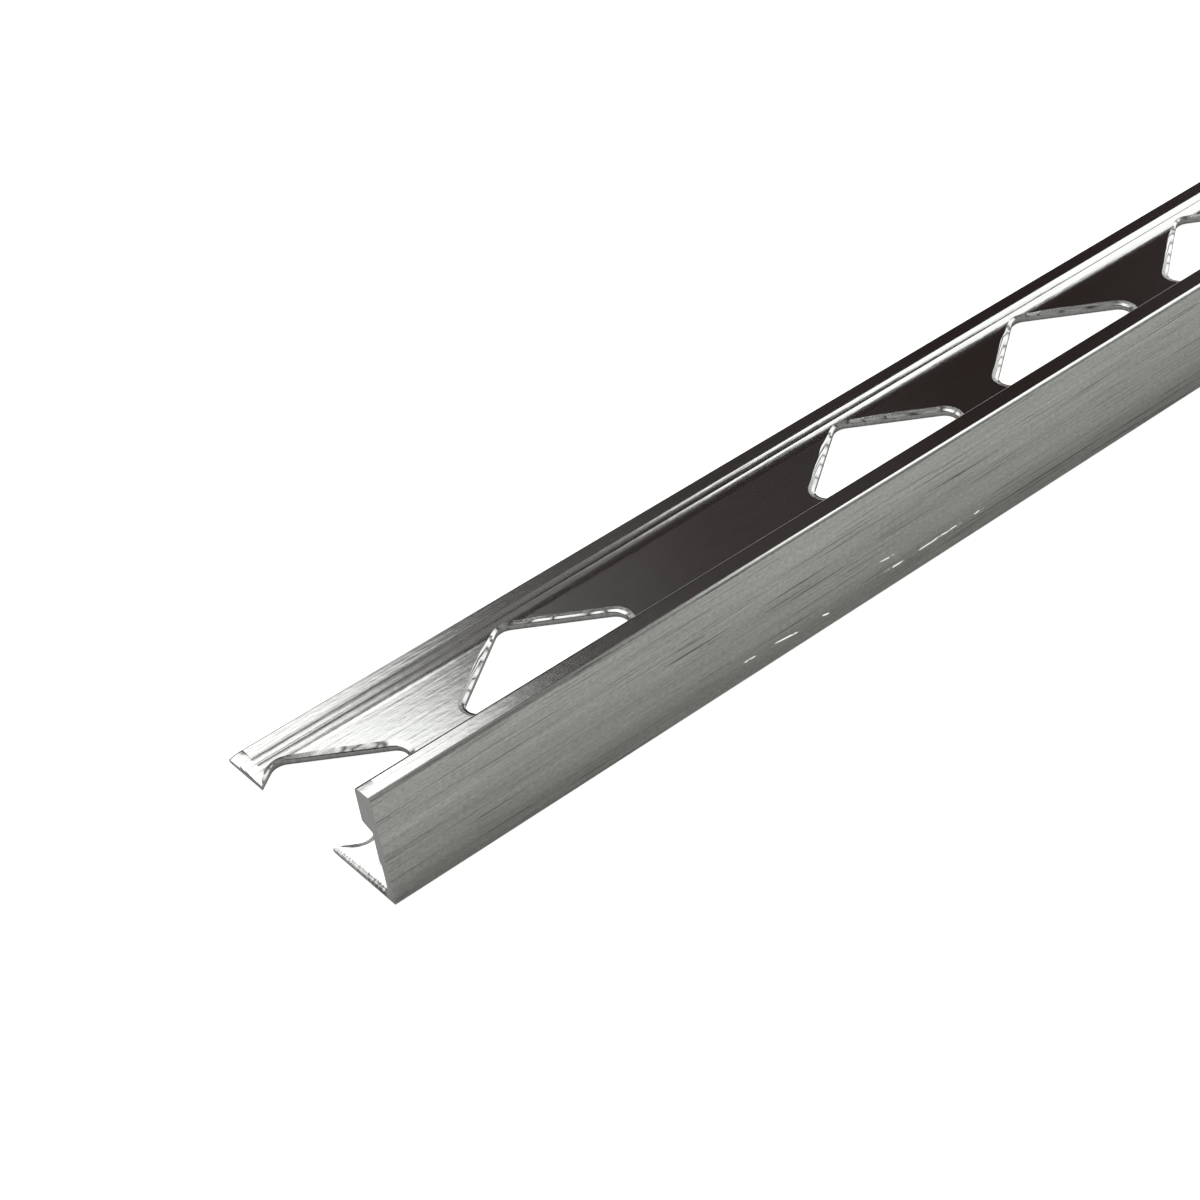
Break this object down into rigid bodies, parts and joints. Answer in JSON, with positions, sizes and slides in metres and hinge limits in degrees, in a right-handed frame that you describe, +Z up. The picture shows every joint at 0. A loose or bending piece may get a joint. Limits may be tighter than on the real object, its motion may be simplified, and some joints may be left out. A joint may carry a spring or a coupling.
{
  "type": "tile edge trim",
  "caption": "L-shaped aluminium tile edge trim: an upright with a thick square head over a thin wall, and a flat anchoring leg punched with round-cornered diamond holes.",
  "frame": {"origin": "middle of the underside of the leg, which is the middle of the bounding box's bottom", "axes": "+X along the length away from the sawn end that cuts through a hole, +Y from the upright's front face towards the leg's far edge, +Z up from the leg to the head"},
  "size_m": [1, 0.0218, 0.01],
  "materials": {
    "mill_aluminium": "mill-finish extruded aluminium, glossy on the leg and head top, brushed along the front face"
  },
  "bodies": {
    "root": {"trim_profile": "mill_aluminium"}
  },
  "joints": []
}
